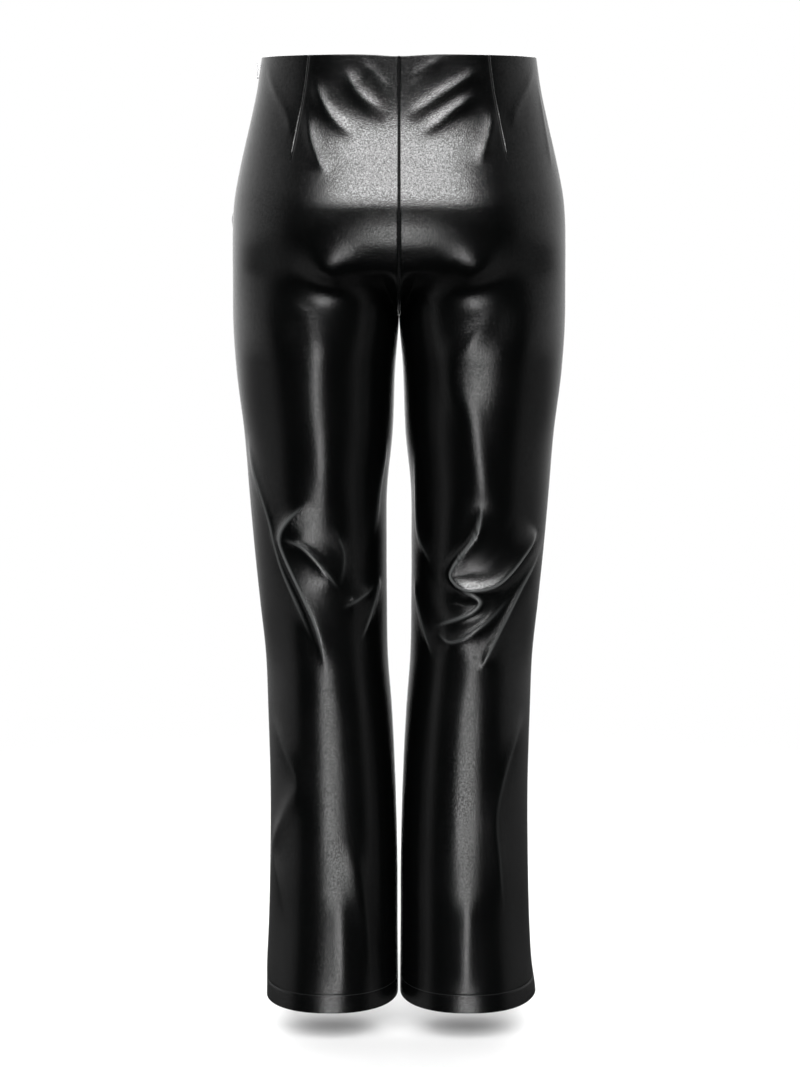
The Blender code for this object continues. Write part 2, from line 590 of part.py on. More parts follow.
def zip_pull(material):
    """A flat tab with a window, whose top bar turns in the slider's ring."""
    hinge, _ = seam_frame()
    bar = PULL_THICKNESS / 2.0
    round_end = PULL_WIDTH / 2.0
    outline = arc((0.0, bar + round_end - PULL_LENGTH), round_end, 180.0, 360.0, ROUND_STEPS)
    outline += [(PULL_TOP_WIDTH / 2.0, bar), (-PULL_TOP_WIDTH / 2.0, bar)]
    across = Matrix.Rotation(math.pi / 2.0, 4, "Z")
    pull = prism("zip_pull", outline, PULL_THICKNESS, material)
    pull.data.transform(across)
    pull.location = hinge
    window = box(
        "pull_window",
        (WINDOW_WIDTH, 2.0 * PULL_THICKNESS, WINDOW_LENGTH),
        (0.0, 0.0, -bar - WINDOW_LENGTH / 2.0),
        material,
    )
    window.data.transform(across)
    combine(pull, window, "DIFFERENCE")
    return pull


# --- Model -----------------------------------------------------------------------------


def finish(name, look):
    """A material of one colour, roughness and metallic value."""
    colour, roughness, metallic = look
    material = bpy.data.materials.new(name)
    material.use_nodes = True
    shader = material.node_tree.nodes["Principled BSDF"]
    shader.inputs["Base Color"].default_value = colour
    shader.inputs["Roughness"].default_value = roughness
    shader.inputs["Metallic"].default_value = metallic
    return material


def main():
    for old in list(bpy.data.objects):
        bpy.data.objects.remove(old, do_unlink=True)
    back_heights, front_heights = panel_heights("back_steps"), panel_heights("front_steps")
    for side, side_name in ((LEFT, "left"), (RIGHT, "right")):
        back, front = f"back_{side_name}", f"front_{side_name}"
        panel(back, side, back_angles, back_heights, finish(back, FAUX_LEATHER))
        panel(front, side, front_angles, front_heights, finish(front, FAUX_LEATHER))
    zip_tape(finish("zip_tape", ZIP_TAPE))
    zip_slider(finish("zip_slider", ZIP_METAL))
    zip_pull(finish("zip_pull", ZIP_METAL))


main()
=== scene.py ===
"""Looks of the faux leather trousers: fine cloth shells, stitches, a zip and their finishes.

The shells follow the surface of the solids. Sizes are in metres, in the part's own frame:
+X is the wearer's right, the back faces -Y and the waist's edge lies at height 0.
"""

import math
from collections import namedtuple

import bpy
import numpy as np
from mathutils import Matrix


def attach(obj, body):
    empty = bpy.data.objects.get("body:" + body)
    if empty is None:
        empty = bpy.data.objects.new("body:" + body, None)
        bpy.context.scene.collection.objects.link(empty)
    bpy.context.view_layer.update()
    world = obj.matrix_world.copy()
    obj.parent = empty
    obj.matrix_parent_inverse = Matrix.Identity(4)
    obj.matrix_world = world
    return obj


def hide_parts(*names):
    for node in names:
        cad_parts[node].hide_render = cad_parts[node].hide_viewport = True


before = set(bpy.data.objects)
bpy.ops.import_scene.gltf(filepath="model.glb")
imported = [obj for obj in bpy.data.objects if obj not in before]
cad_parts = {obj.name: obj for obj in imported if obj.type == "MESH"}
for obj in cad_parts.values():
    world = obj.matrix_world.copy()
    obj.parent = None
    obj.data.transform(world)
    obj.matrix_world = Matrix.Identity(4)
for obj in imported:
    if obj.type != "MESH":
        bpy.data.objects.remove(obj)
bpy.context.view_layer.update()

BODY = "trousers"

# --- Sizes -----------------------------------------------------------------------------

CLOTH = 0.0012  # wall of the shell, inside the solid's own wall
TURNING = 0.0011  # what a turned edge adds to the wall, on the inside
TURNING_STEP = 0.002  # height over which it does so
SEAM_GAP = 0.0  # the shells are sewn edge to edge
HEM_HEIGHT = -1.018
HEM_TURN_UP = 0.020
WAIST_TURN_IN = 0.035
CROTCH_HEIGHT = -0.272
CROTCH_CURVE = 0.056  # height of the curved part of the seat seam
BACK_DIP = 0.002
DIP_WIDTH, DIP_HEIGHT = 20.0, 0.060  # degrees and height over which that dip dies out

LEFT, RIGHT = -1, 1  # the wearer's left is at -X
INSEAM, OUTSEAM, FRONT_INSEAM = -90.0, 90.0, 270.0  # degrees round a leg from its back
ARC = 0.00132  # mean length of one such degree along the cloth

# How the seat parts into two legs: the height above the crotch at which that starts and the
# height it takes, how far it goes on under the crotch, and the degrees off the seam at which
# the change has become softer and softest.
PARTING_TOP, PARTING_HEIGHT, UNDER_CROTCH = 0.070, 0.115, 0.012
NEAR_SEAM, FAR_FROM_SEAM = 12.0, 70.0

# One row for each level: half width to the outseam, distance of the inseam from the middle
# plane, depth of the back and the front, the outseam's own depth, and how square it is.
Section = namedtuple("Section", "height outer inner back front middle square")
SECTIONS = (
    Section(0.000, 0.1455, 0.0000, -0.1045, 0.096, 0.000, 2.20),
    Section(-0.035, 0.1510, 0.0000, -0.1075, 0.098, 0.000, 2.20),
    Section(-0.065, 0.1575, 0.0000, -0.1118, 0.100, -0.001, 2.22),
    Section(-0.095, 0.1646, 0.0000, -0.1200, 0.101, -0.002, 2.26),
    Section(-0.125, 0.1712, 0.0000, -0.1310, 0.102, -0.003, 2.32),
    Section(-0.145, 0.1748, 0.0000, -0.1380, 0.102, -0.004, 2.36),
    Section(-0.155, 0.1760, 0.0000, -0.1404, 0.102, -0.004, 2.37),
    Section(-0.163, 0.1766, 0.0000, -0.1413, 0.102, -0.005, 2.38),
    Section(-0.178, 0.1773, 0.0000, -0.1417, 0.101, -0.006, 2.40),
    Section(-0.192, 0.1776, 0.0000, -0.1398, 0.101, -0.006, 2.40),
    Section(-0.208, 0.1778, 0.0000, -0.1345, 0.101, -0.006, 2.38),
    Section(-0.226, 0.1779, 0.0000, -0.1270, 0.100, -0.006, 2.35),
    Section(-0.245, 0.1780, 0.0000, -0.1226, 0.100, -0.005, 2.32),
    Section(-0.272, 0.1782, 0.0000, -0.1180, 0.099, -0.004, 2.25),
    Section(-0.330, 0.1752, 0.0038, -0.1085, 0.098, -0.002, 2.15),
    Section(-0.400, 0.1672, 0.0068, -0.101, 0.095, 0.000, 2.10),
    Section(-0.460, 0.1628, 0.0126, -0.095, 0.091, 0.000, 2.05),
    Section(-0.520, 0.1578, 0.0132, -0.090, 0.085, -0.002, 2.05),
    Section(-0.580, 0.1518, 0.0130, -0.090, 0.077, -0.006, 2.05),
    Section(-0.640, 0.1455, 0.0122, -0.093, 0.070, -0.010, 2.05),
    Section(-0.700, 0.1432, 0.0078, -0.097, 0.064, -0.014, 2.10),
    Section(-0.780, 0.1412, 0.0038, -0.100, 0.060, -0.018, 2.15),
    Section(-0.860, 0.1418, 0.0016, -0.102, 0.059, -0.020, 2.20),
    Section(-0.940, 0.1440, 0.0014, -0.104, 0.060, -0.022, 2.20),
    Section(HEM_HEIGHT, 0.1486, 0.0010, -0.106, 0.062, -0.022, 2.25),
)

# A fold is a ridge along a path of (degrees, height) points, or a hollow where its rise is
# below 0. On a path that runs down, the outer width is its reach towards the outseam and the
# inner width that towards the inseam. The crest is sharp at 0 and round at 1, and its shine is
# how bright a painted highlight along the crest is, paled into the colour. The fold fades in
# and out over a share of the path.
Fold = namedtuple("Fold", "leg rise outer_width inner_width crest shine fade path")
FOLDS = (
    # Back of the left leg: the thigh's cloth hangs over the knee in a hook, and the calf is
    # flatter than the leg above and below it.
    Fold(LEFT, 0.0036, 0.009, 0.006, 0.25, 0.50, 0.25, (
        (67, -0.394), (58, -0.429), (43, -0.481), (33, -0.533), (21, -0.573), (10, -0.613))),
    Fold(LEFT, 0.0052, 0.005, 0.019, 0.25, 0.90, 0.20, (
        (4, -0.461), (23, -0.483), (31, -0.502), (28, -0.522), (14, -0.566), (4, -0.603),
        (-1, -0.650))),
    Fold(LEFT, 0.0034, 0.009, 0.007, 0.35, 0.50, 0.30, (
        (28, -0.504), (13, -0.511), (-4, -0.536), (-16, -0.558))),
    Fold(LEFT, 0.0016, 0.008, 0.006, 0.40, 0.20, 0.40, (
        (-12, -0.486), (-22, -0.520), (-18, -0.556))),
    Fold(LEFT, 0.0034, 0.010, 0.007, 0.50, 0.30, 0.35, (
        (-19, -0.578), (-36, -0.568), (-54, -0.556))),
    Fold(LEFT, 0.0028, 0.006, 0.006, 0.25, 0.45, 0.30, (
        (-66, -0.397), (-60, -0.450), (-54, -0.510))),
    Fold(LEFT, 0.0030, 0.006, 0.006, 0.25, 0.60, 0.30, (
        (-62, -0.548), (-53, -0.572), (-35, -0.618))),
    Fold(LEFT, -0.0009, 0.022, 0.024, 1.00, 0.00, 0.25, (
        (-1, -0.640), (-3, -0.718), (-6, -0.783), (-5, -0.890))),
    Fold(LEFT, 0.0016, 0.015, 0.015, 1.00, 0.00, 0.30, (
        (-6, -0.880), (-10, -0.945), (-12, -1.010))),
    Fold(LEFT, 0.0022, 0.012, 0.012, 1.00, 0.00, 0.30, (
        (-14, -0.820), (-26, -0.893), (-38, -1.000))),
    Fold(LEFT, 0.0024, 0.011, 0.011, 0.60, 0.00, 0.25, (
        (66, -0.693), (46, -0.729), (31, -0.767), (45, -0.805), (62, -0.846), (50, -0.889),
        (38, -0.930))),
    Fold(LEFT, 0.0030, 0.020, 0.024, 1.00, 0.00, 0.20, (
        (-14, -0.236), (-6, -0.281), (-2, -0.354), (-5, -0.407), (-11, -0.480))),
    # Back of the right leg: two folds cross the knee, one over the other.
    Fold(RIGHT, 0.0040, 0.008, 0.005, 0.25, 0.60, 0.25, (
        (74, -0.507), (46, -0.546), (31, -0.577), (14, -0.622), (7, -0.645))),
    Fold(RIGHT, 0.0060, 0.013, 0.0045, 0.25, 1.00, 0.15, (
        (0, -0.462), (-4, -0.497), (-21, -0.533), (-22, -0.547), (-9, -0.557), (17, -0.551),
        (44, -0.515), (56, -0.498))),
    Fold(RIGHT, 0.0040, 0.0045, 0.010, 0.25, 0.80, 0.20, (
        (-16, -0.558), (-3, -0.564), (2, -0.572), (-8, -0.584), (-41, -0.601))),
    Fold(RIGHT, 0.0038, 0.010, 0.008, 0.40, 0.40, 0.30, (
        (-38, -0.604), (-20, -0.614), (2, -0.599), (30, -0.566))),
    Fold(RIGHT, 0.0028, 0.006, 0.006, 0.25, 0.45, 0.30, (
        (-60, -0.399), (-64, -0.490), (-44, -0.536))),
    Fold(RIGHT, 0.0028, 0.006, 0.006, 0.25, 0.45, 0.30, (
        (-72, -0.552), (-56, -0.592), (-40, -0.634))),
    Fold(RIGHT, -0.0009, 0.020, 0.020, 1.00, 0.00, 0.25, (
        (6, -0.650), (0, -0.707), (1, -0.783), (3, -0.890))),
    Fold(RIGHT, 0.0018, 0.014, 0.014, 1.00, 0.00, 0.30, (
        (3, -0.880), (0, -0.940), (-2, -1.010))),
    Fold(RIGHT, 0.0024, 0.011, 0.011, 0.60, 0.10, 0.25, (
        (61, -0.691), (42, -0.733), (28, -0.795), (30, -0.851), (35, -0.912))),
    Fold(RIGHT, 0.0028, 0.016, 0.018, 1.00, 0.00, 0.20, (
        (-14, -0.238), (-12, -0.281), (-22, -0.318), (-20, -0.345), (-8, -0.380),
        (-1, -0.440), (0, -0.475))),
    # Drag lines from the waist and the darts across the seat.
    Fold(LEFT, 0.0018, 0.009, 0.008, 0.60, 0.00, 0.35, (
        (-44, -0.014), (-52, -0.027), (-59, -0.041), (-71, -0.055), (-84, -0.069))),
    Fold(LEFT, 0.0009, 0.007, 0.007, 0.60, 0.00, 0.35, (
        (-58, -0.004), (-73, -0.024), (-88, -0.044))),
    Fold(LEFT, 0.0016, 0.008, 0.007, 0.60, 0.00, 0.30, (
        (-19, -0.020), (-26, -0.040), (-36, -0.059), (-48, -0.074), (-62, -0.087))),
    Fold(LEFT, 0.0018, 0.006, 0.009, 0.50, 0.00, 0.30, (
        (-15, -0.050), (-23, -0.082), (-31, -0.104), (-42, -0.124))),
    Fold(LEFT, 0.0012, 0.006, 0.006, 0.50, 0.00, 0.30, ((48, -0.006), (5, -0.056), (-9, -0.085))),
    Fold(RIGHT, 0.0014, 0.009, 0.007, 0.60, 0.00, 0.30, (
        (-16, -0.014), (-34, -0.024), (-56, -0.040), (-74, -0.056), (-88, -0.068))),
    Fold(RIGHT, 0.0009, 0.007, 0.007, 0.60, 0.00, 0.35, (
        (-52, -0.002), (-70, -0.016), (-88, -0.030))),
    Fold(RIGHT, 0.0018, 0.008, 0.008, 0.60, 0.00, 0.30, (
        (-22, -0.036), (-40, -0.050), (-52, -0.060), (-64, -0.072), (-78, -0.086))),
    Fold(RIGHT, 0.0018, 0.008, 0.009, 0.50, 0.00, 0.30, (
        (-14, -0.052), (-22, -0.082), (-36, -0.114))),
    Fold(RIGHT, 0.0011, 0.006, 0.006, 0.50, 0.00, 0.30, (
        (56, -0.008), (15, -0.046), (-3, -0.077))),
    Fold(RIGHT, 0.0010, 0.007, 0.007, 0.50, 0.00, 0.30, (
        (61, -0.019), (50, -0.076), (42, -0.122))),
    # Fronts: drag lines from the crotch, the bend of each knee and the shins.
    Fold(LEFT, 0.0026, 0.013, 0.010, 0.60, 0.15, 0.35, (
        (152, -0.196), (200, -0.226), (246, -0.252))),
    Fold(LEFT, 0.0020, 0.013, 0.010, 0.60, 0.15, 0.35, (
        (172, -0.252), (212, -0.270), (250, -0.300))),
    Fold(LEFT, 0.0032, 0.013, 0.010, 0.60, 0.15, 0.30, (
        (120, -0.470), (160, -0.512), (214, -0.530))),
    Fold(LEFT, 0.0036, 0.009, 0.014, 0.40, 0.40, 0.30, (
        (130, -0.588), (176, -0.572), (232, -0.596))),
    Fold(LEFT, 0.0024, 0.014, 0.014, 1.00, 0.00, 0.30, (
        (196, -0.640), (184, -0.740), (200, -0.860))),
    Fold(LEFT, 0.0020, 0.014, 0.014, 1.00, 0.00, 0.30, (
        (132, -0.700), (146, -0.800), (136, -0.905))),
    Fold(RIGHT, 0.0024, 0.013, 0.010, 0.60, 0.15, 0.35, (
        (158, -0.190), (204, -0.214), (244, -0.246))),
    Fold(RIGHT, 0.0022, 0.013, 0.010, 0.60, 0.15, 0.35, (
        (166, -0.262), (214, -0.274), (252, -0.296))),
    Fold(RIGHT, 0.0034, 0.013, 0.010, 0.60, 0.15, 0.30, (
        (126, -0.496), (170, -0.528), (222, -0.520))),
    Fold(RIGHT, 0.0030, 0.014, 0.009, 0.40, 0.40, 0.30, (
        (142, -0.610), (190, -0.588), (238, -0.612))),
    Fold(RIGHT, 0.0026, 0.014, 0.014, 1.00, 0.00, 0.30, (
        (190, -0.652), (198, -0.760), (186, -0.880))),
    Fold(RIGHT, 0.0020, 0.014, 0.014, 1.00, 0.00, 0.30, (
        (136, -0.720), (126, -0.820), (140, -0.930))),
)
PATH_STEPS = 40
CREST_WIDTH = 0.0015  # reach of the painted highlight along a sharp fold's crest
FOLD_REACH = 3.2  # widths from its path at which a fold has died out
SEAM_FADE = 10.0  # degrees from an inner seam over which folds die out
NORMAL_STEP, NORMAL_RISE = 0.5, 0.0008  # degrees and height to the points beside a normal

# A bump is a round rise that reaches so far across and up the cloth.
Bump = namedtuple("Bump", "leg angle height across up rise")
BUMPS = (
    Bump(LEFT, OUTSEAM, -0.170, 0.008, 0.008, 0.0018),  # the end of the zip
    Bump(LEFT, OUTSEAM, HEM_HEIGHT, 0.030, 0.025, -0.0020),  # the hems' outer corners
    Bump(RIGHT, OUTSEAM, HEM_HEIGHT, 0.030, 0.025, 0.0028),
    Bump(LEFT, -42, -0.216, 0.021, 0.020, 0.0080),  # under the seat
    Bump(RIGHT, -38, -0.216, 0.021, 0.020, 0.0080),
)

# The dart's seam on each back, as degrees round the leg at its top and at its point.
DART_TOP, DART_POINT = -13.5, -10.5
DART_LENGTH, DART_FADE = 0.110, 0.020
DART_DEPTH = 0.00075
DART_HALF_WIDTH = 0.8  # degrees

# The shells' rows, from one height to the next, and columns. Both counts are even, because
# the inside of a shell has every second row and column of its outside.
Band = namedtuple("Band", "top bottom steps")
BACK_BANDS = (
    Band(0.0, -0.0012, 4),
    Band(-0.0012, -0.440, 168),
    Band(-0.440, -0.660, 138),
    Band(-0.660, -0.9925, 126),
    Band(-0.9925, -1.0025, 10),
    Band(-1.0025, HEM_HEIGHT + 0.0012, 6),
    Band(HEM_HEIGHT + 0.0012, HEM_HEIGHT, 4),
)
FRONT_BANDS = (
    Band(0.0, -0.0012, 4),
    Band(-0.0012, -0.440, 130),
    Band(-0.440, -0.660, 90),
    Band(-0.660, -0.9925, 100),
    Band(-0.9925, -1.0025, 10),
    Band(-1.0025, HEM_HEIGHT + 0.0012, 6),
    Band(HEM_HEIGHT + 0.0012, HEM_HEIGHT, 4),
)
SEAM_STEPS = (0.35, 0.80, 1.35, 2.10, 3.10)  # degrees from a seam to its nearest columns
SPREAD, SPREAD_HEIGHT = 2.6, 0.080  # how those of the dart spread out below its point
BACK_INNER_COLUMNS, BACK_OUTER_COLUMNS = 63, 80
FRONT_COLUMNS = 93
SEAM_ROLL, SEAM_ROLL_WIDTH = 0.0008, 0.0011  # how the cloth turns in along a seam
SEAM_LINE, DART_LINE = 0.0007, 0.50  # reach of a seam's painted dark line of shade, in metres and degrees
DART_LINE_FADE = 0.004
EDGE_ROUND = 0.0010  # radius of a turned edge
SHARP_ANGLE = 50.0  # degrees at which an edge of a mesh isn't shaded smooth
STITCH_GROOVE, STITCH_GROOVE_WIDTH = 0.00030, 0.0012

# A thread or a tooth of the coil is a round bar with thinner tips that lie deeper. Each ring
# has its share of the length, its width as a share of the radius, and how deep it is sunk.
Ring = namedtuple("Ring", "share width sunk")
BAR_RINGS = (
    Ring(0.00, 0.45, 1.0),
    Ring(0.18, 1.00, 0.0),
    Ring(0.82, 1.00, 0.0),
    Ring(1.00, 0.45, 1.0),
)
BAR_SIDES = 6
THREAD = 0.00026  # radius
HEM_STITCHES = 150  # round each leg
SEAM_PITCH = 0.0026
STITCH_SHARE = 0.76  # of a pitch that is thread on top
ZIP_BOTTOM = -0.170
Run = namedtuple("Run", "leg angle top bottom")
SEAM_RUNS = (
    Run(LEFT, INSEAM, -0.003, -0.266),  # the middle of the back and of the front
    Run(LEFT, FRONT_INSEAM, -0.003, -0.266),
    Run(LEFT, INSEAM, -0.280, -1.012),
    Run(RIGHT, INSEAM, -0.280, -1.012),
    Run(LEFT, OUTSEAM, ZIP_BOTTOM, -1.012),
    Run(RIGHT, OUTSEAM, -0.003, -1.012),
)
COIL_TOP, COIL_BOTTOM, COIL_PITCH = -0.018, -0.168, 0.0011
COIL_RADIUS, COIL_REACH = 0.00042, 1.25  # metres, and degrees each way from the seam
TAPE_BACK = 0.0028  # depth of the tape's inside face under one layer of cloth
LINING_BOTTOM, LINING_RUN = 0.060, 0.025  # where the tape goes under the turned-in waist


# --- The garment's surface -------------------------------------------------------------


def smooth(x):
    """0 below 0, 1 above 1, and a smooth rise between."""
    x = np.clip(x, 0.0, 1.0)
    return x * x * (3.0 - 2.0 * x)


def level(name, height):
    """One column of SECTIONS at any height, on a smooth curve through its rows."""
    knots = np.array([row.height for row in SECTIONS])
    values = np.array([getattr(row, name) for row in SECTIONS])
    slopes = np.gradient(values, knots)
    height = np.clip(height, knots[-1], knots[0])
    i = np.clip(np.searchsorted(-knots, -height, side="right") - 1, 0, len(knots) - 2)
    span = knots[i + 1] - knots[i]
    t = (height - knots[i]) / span
    return (
        (2 * t**3 - 3 * t**2 + 1) * values[i]
        + (t**3 - 2 * t**2 + t) * span * slopes[i]
        + (3 * t**2 - 2 * t**3) * values[i + 1]
        + (t**3 - t**2) * span * slopes[i + 1]
    )


def round_square(degrees, square):
    """Across and backward parts of a unit outline between a circle (2) and a square."""
    a = np.radians(degrees)
    reach = (np.abs(np.sin(a)) ** square + np.abs(np.cos(a)) ** square) ** (-1 / square)
    return reach * np.sin(a), reach * np.cos(a)


def from_inner_seam(angle):
    """Degrees to the nearer of a half's two inner seams."""
    return np.minimum(angle - INSEAM, FRONT_INSEAM - angle)


def leg_share(angle, height):
    """0 where the cloth follows the seat, 1 where it goes round one leg.

    The seat seam runs under the body on a quarter of an ellipse. The change is softer a
    little way off that seam, and softer again towards the outseam.
    """
    above = np.clip((height - CROTCH_HEIGHT) / CROTCH_CURVE, 0.0, 1.0)
    at_seam = 1.0 - np.sqrt(1.0 - (1.0 - above) ** 2)
    near_seam = smooth((CROTCH_HEIGHT + CROTCH_CURVE - height) / (CROTCH_CURVE + UNDER_CROTCH))
    far = smooth((CROTCH_HEIGHT + PARTING_TOP - height) / PARTING_HEIGHT)
    off_seam = from_inner_seam(angle)
    near = at_seam + (near_seam - at_seam) * smooth(off_seam / NEAR_SEAM)
    return near + (far - near) * smooth(off_seam / FAR_FROM_SEAM)


def plain_point(side, angle, height):
    """The cloth's outer surface with no folds, for arrays of angles and heights."""
    outer, inner = level("outer", height), level("inner", height)
    back, front = level("back", height), level("front", height)
    middle, square = level("middle", height), level("square", height)
    across, backward = round_square((angle + 90.0) / 2.0, square)
    seat_x = outer * across
    seat_y = middle - np.where(backward > 0, middle - back, front - middle) * backward
    across, backward = round_square(angle, square)
    half = (outer - inner) / 2.0
    leg_x = inner + half + half * across
    leg_y = middle - np.where(backward > 0, middle - back, front - middle) * backward
    share = leg_share(angle, height)
    x = seat_x + (leg_x - seat_x) * share
    y = seat_y + (leg_y - seat_y) * share
    return np.stack([side * (x + SEAM_GAP / 2.0), y, height + 0.0 * x], axis=-1)


def smooth_path(points):
    """Points along a smooth curve through a fold's own points, in metres of cloth."""
    p = np.array([(angle * ARC, height) for angle, height in points])
    p = np.vstack([2 * p[0] - p[1], p, 2 * p[-1] - p[-2]])
    along = np.linspace(0.0, len(points) - 1.000001, PATH_STEPS)
    i = along.astype(int)
    t = (along - i)[:, None]
    before, start, end, after = p[i], p[i + 1], p[i + 2], p[i + 3]
    return 0.5 * (
        2 * start
        + (end - before) * t
        + (2 * before - 5 * start + 4 * end - after) * t**2
        + (3 * start - before - 3 * end + after) * t**3
    )


def beside_fold(fold, angle, height):
    """Distance from a fold's path, whether that is on its outer side, and how full it is."""
    line = smooth_path(fold.path)
    runs = np.diff(line, axis=0)
    across = angle[..., None] * ARC - line[:-1, 0]
    up = height[..., None] - line[:-1, 1]
    t = (across * runs[:, 0] + up * runs[:, 1]) / (runs**2).sum(axis=1)
    t = np.clip(t, 0.0, 1.0)
    across, up = across - t * runs[:, 0], up - t * runs[:, 1]
    distance = across**2 + up**2
    nearest = np.argmin(distance, axis=-1)[..., None]
    t, across, up, distance = (
        np.take_along_axis(values, nearest, -1)[..., 0] for values in (t, across, up, distance)
    )
    run = runs[nearest[..., 0]]
    outward = run[..., 0] * up - run[..., 1] * across > 0
    share = (nearest[..., 0] + t) / len(runs)
    fade = smooth(share / fold.fade) * smooth((1.0 - share) / fold.fade)
    return np.sqrt(distance), outward, fade


def fold_rise(fold, distance, outward, fade):
    """How far one fold lifts the cloth: a ridge that falls off to both sides of its path."""
    off = distance / np.where(outward, fold.outer_width, fold.inner_width)
    steepness = 1.0 / (math.sqrt(1.0 + fold.crest**2) - fold.crest)
    ridge = np.exp(-steepness * (np.sqrt(off**2 + fold.crest**2) - fold.crest))
    return fold.rise * fade * ridge * smooth(FOLD_REACH - off)


def bump_rise(bump, angle, height):
    across = (angle - bump.angle) * ARC / bump.across
    up = (height - bump.height) / bump.up
    return bump.rise * np.exp(-(across**2) - up**2)


def dart_angle(height):
    return DART_TOP + (DART_POINT - DART_TOP) * np.clip(-height / DART_LENGTH, 0.0, 1.0)


def dart_fall(angle, height):
    """How far the cloth falls in along the dart's seam."""
    off_seam = (angle - dart_angle(height)) / DART_HALF_WIDTH
    return DART_DEPTH * smooth((height + DART_LENGTH) / DART_FADE) * np.exp(-(off_seam**2))


def near_path(fold, angle, height):
    """Whether points lie where a fold can still be felt."""
    line = smooth_path(fold.path)
    reach = FOLD_REACH * max(fold.outer_width, fold.inner_width)
    low, high = line.min(axis=0) - reach, line.max(axis=0) + reach
    across = angle * ARC
    return (across > low[0]) & (across < high[0]) & (height > low[1]) & (height < high[1])


def relief(side, angle, height):
    """What lifts the cloth off its plain shape, and the painted highlight along its folds'
    crests.

    The cloth stays plain at its inner seams.
    """
    rise, painted_crest_highlight = np.zeros_like(angle), np.zeros_like(angle)
    for fold in FOLDS:
        if fold.leg == side:
            near = near_path(fold, angle, height)
            distance, outward, fade = beside_fold(fold, angle[near], height[near])
            rise[near] += fold_rise(fold, distance, outward, fade)
            # A painted highlight: a thin pale line along each fold's crest, as bright as its
            # shine.
            painted_crest_highlight[near] += fold.shine * fade * np.exp(-((distance / CREST_WIDTH) ** 2))
    for bump in BUMPS:
        if bump.leg == side:
            rise += bump_rise(bump, angle, height)
    rise = (rise - dart_fall(angle, height)) * smooth(from_inner_seam(angle) / SEAM_FADE)
    off_stitches = (height - HEM_HEIGHT - HEM_TURN_UP) / STITCH_GROOVE_WIDTH
    return rise - STITCH_GROOVE * np.exp(-(off_stitches**2)), np.minimum(painted_crest_highlight, 1.0)


def edge_dip(angle, height):
    """How far the waist dips to the middle seam of the back."""
    off_seam = (angle - INSEAM) / DIP_WIDTH
    return BACK_DIP * np.exp(-(off_seam**2)) * smooth(1.0 + height / DIP_HEIGHT)


def plain_normal(side, angle, height):
    """Unit normals out of the plain shape, from points a little way off round and up it."""
    one_tube = height <= CROTCH_HEIGHT
    low, high = angle - NORMAL_STEP, angle + NORMAL_STEP
    low = np.where(one_tube, low, np.maximum(low, INSEAM))
    high = np.where(one_tube, high, np.minimum(high, FRONT_INSEAM))
    top = np.minimum(height + NORMAL_RISE, 0.0)
    bottom = np.maximum(height - NORMAL_RISE, HEM_HEIGHT)
    around = plain_point(side, high, height) - plain_point(side, low, height)
    upward = plain_point(side, angle, top) - plain_point(side, angle, bottom)
    normal = side * np.cross(around, upward)
    at_crotch = (np.abs(height - CROTCH_HEIGHT) < 1e-6) & (from_inner_seam(angle) < 0.1)
    normal[at_crotch] = (-side, 0.0, 0.0)
    return normal / np.linalg.norm(normal, axis=-1, keepdims=True)


def clear_of_middle(side, points):
    """Keep one half's points off the other half, by half a seam's gap each."""
    points[..., 0] = side * np.maximum(side * points[..., 0], SEAM_GAP / 2.0)
    return points


def cloth_point(side, angle, height):
    """The cloth's outer surface with its folds, darts and dip, and its painted crest highlight.
    """
    point = plain_point(side, angle, height)
    rise, painted_crest_highlight = relief(side, angle, height)
    point = point + plain_normal(side, angle, height) * rise[..., None]
    point[..., 2] -= edge_dip(angle, height)
    return clear_of_middle(side, point), painted_crest_highlight


def grid_normal(side, points):
    """Unit normals of a grid of points whose rows run down and columns run outwards."""
    down = np.gradient(points, axis=0)
    around = np.gradient(points, axis=1)
    normal = side * np.cross(down, around)
    length = np.linalg.norm(normal, axis=-1, keepdims=True)
    return normal / np.maximum(length, 1e-12)


# --- Meshes ----------------------------------------------------------------------------


def mesh_object(name, points, faces, materials):
    mesh = bpy.data.meshes.new(name)
    mesh.from_pydata(points.tolist(), [], faces)
    for material in materials:
        mesh.materials.append(material)
    mesh.shade_smooth()
    mesh.set_sharp_from_angle(angle=math.radians(SHARP_ANGLE))
    made = bpy.data.objects.new(name, mesh)
    bpy.context.scene.collection.objects.link(made)
    return made


def grid_faces(count_down, count_across, start):
    """Quads between neighbouring points of a grid whose first point has the number start."""
    corner = start + np.arange(count_down * count_across).reshape(count_down, count_across)
    a, b = corner[:-1, :-1], corner[:-1, 1:]
    c, d = corner[1:, 1:], corner[1:, :-1]
    return np.stack([a, d, c, b], axis=-1).reshape(-1, 4)


def border(count_down, count_across, start):
    """The numbers of a grid's outermost points, in order round it."""
    corner = start + np.arange(count_down * count_across).reshape(count_down, count_across)
    return np.concatenate([corner[0, :-1], corner[:-1, -1], corner[-1, :0:-1], corner[:0:-1, 0]])


def shell(name, side, outer, inner, materials):
    """A closed shell. The inner grid has every second row and column of the outer one."""
    down, across = outer.shape[:2]
    inner_down, inner_across = inner.shape[:2]
    start = down * across
    outside = grid_faces(down, across, 0)
    inside = grid_faces(inner_down, inner_across, start)[:, ::-1]
    edge, inner_edge = border(down, across, 0), border(inner_down, inner_across, start)
    rim = []
    for k, corner in enumerate(inner_edge):
        after = inner_edge[(k + 1) % len(inner_edge)]
        first, second = edge[2 * k], edge[2 * k + 1]
        third = edge[(2 * k + 2) % len(edge)]
        rim += [(first, second, corner), (second, after, corner), (second, third, after)]
    faces = outside.tolist() + inside.tolist() + [tuple(int(p) for p in face) for face in rim]
    if side == LEFT:
        faces = [face[::-1] for face in faces]
    made = mesh_object(name, np.vstack([outer.reshape(-1, 3), inner.reshape(-1, 3)]), faces,
                       materials)
    lining = np.zeros(len(faces), np.int32)
    lining[len(outside):len(outside) + len(inside)] = 1
    made.data.polygons.foreach_set("material_index", lining)
    return made


